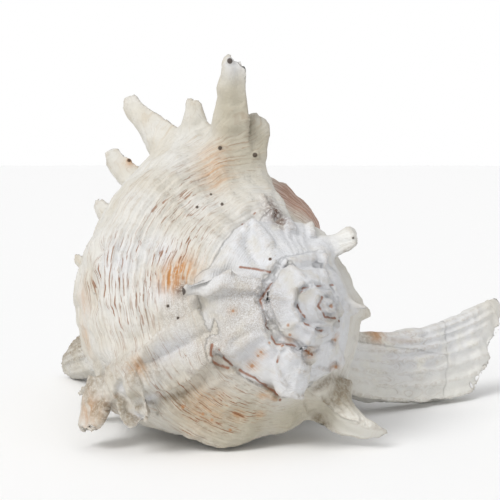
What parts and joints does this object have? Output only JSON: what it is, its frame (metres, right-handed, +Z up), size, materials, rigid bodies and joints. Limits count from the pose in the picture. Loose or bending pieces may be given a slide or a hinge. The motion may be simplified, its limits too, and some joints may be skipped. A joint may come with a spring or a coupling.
{
  "type": "ramose murex shell",
  "caption": "Stout spired sea snail shell with rows of hollow fronds, a broad fan at the lip, an oval mouth underneath and a slit canal.",
  "frame": {"origin": "centre of the shell's footprint, on the ground it lies on", "axes": "+Z up, the spire points to -Y and a little to +X, the canal points to +Y and -X, the fan of the lip points to +X"},
  "size_m": [0.17, 0.149, 0.122],
  "materials": {
    "shell": "chalky, with a faint gloss in the mouth"
  },
  "bodies": {
    "root": {"shell": "shell"}
  },
  "joints": []
}
